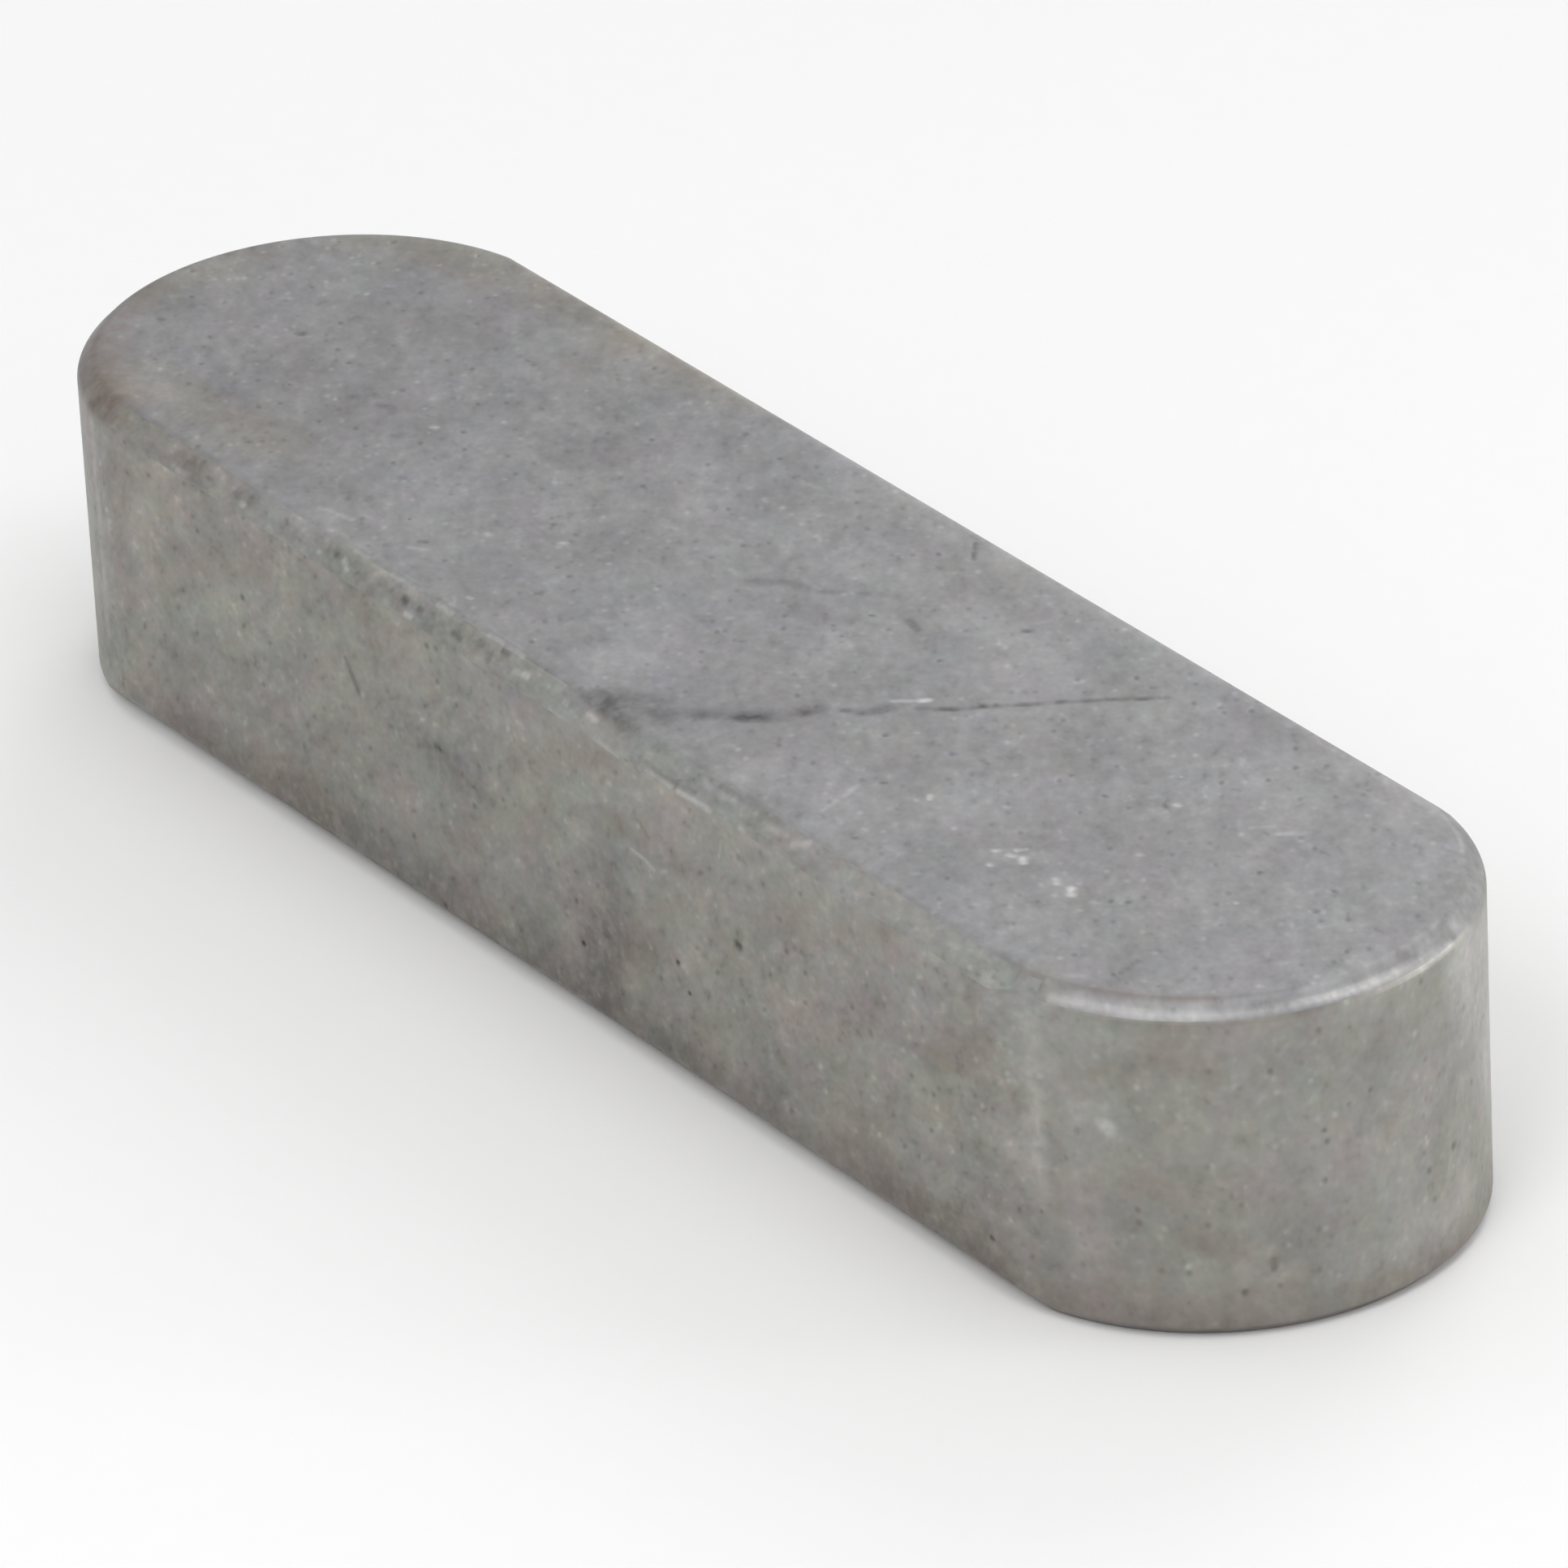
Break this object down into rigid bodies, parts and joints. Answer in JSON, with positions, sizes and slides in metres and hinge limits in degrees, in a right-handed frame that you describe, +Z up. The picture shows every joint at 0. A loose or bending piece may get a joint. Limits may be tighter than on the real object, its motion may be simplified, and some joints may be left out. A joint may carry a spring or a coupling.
{
  "type": "parallel key",
  "caption": "Steel parallel key with round ends: a rectangular bar with chamfered long edges that locks a hub to its shaft.",
  "frame": {"origin": "middle of the broad face that the key rests on", "axes": "+X along the key's length, +Y across its flanks, +Z up through its height, away from the face it rests on"},
  "size_m": [0.045, 0.012, 0.008],
  "materials": {
    "steel": "satin bright-drawn key steel, oiled, with light handling marks"
  },
  "bodies": {
    "root": {"parallel_key": "steel"}
  },
  "joints": []
}
